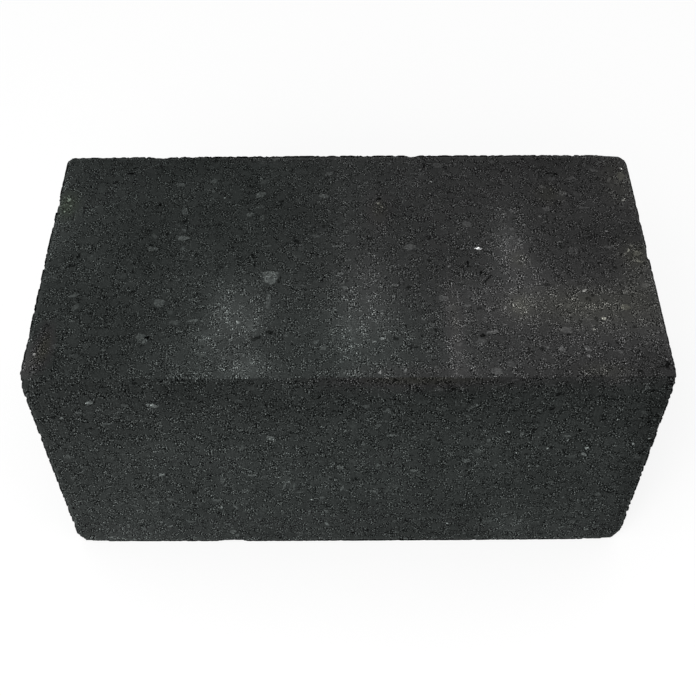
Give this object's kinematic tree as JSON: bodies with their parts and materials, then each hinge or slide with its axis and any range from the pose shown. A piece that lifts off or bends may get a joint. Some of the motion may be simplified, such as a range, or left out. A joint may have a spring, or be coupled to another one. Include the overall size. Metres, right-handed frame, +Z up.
{
  "type": "concrete stacking block",
  "caption": "Solid oblong concrete block with flat faces and slightly worn arrises, laid in courses for garden walls, raised beds and edgings.",
  "frame": {"origin": "centre of the underside, where the block rests on the course below", "axes": "+X along the course, the block's length; +Y from the front face to the back face; +Z up through the height of the course"},
  "size_m": [0.3, 0.15, 0.15],
  "materials": {
    "charcoal_concrete": "pressed and vibrated, as stripped"
  },
  "bodies": {
    "root": {"block": "charcoal_concrete"}
  },
  "joints": []
}
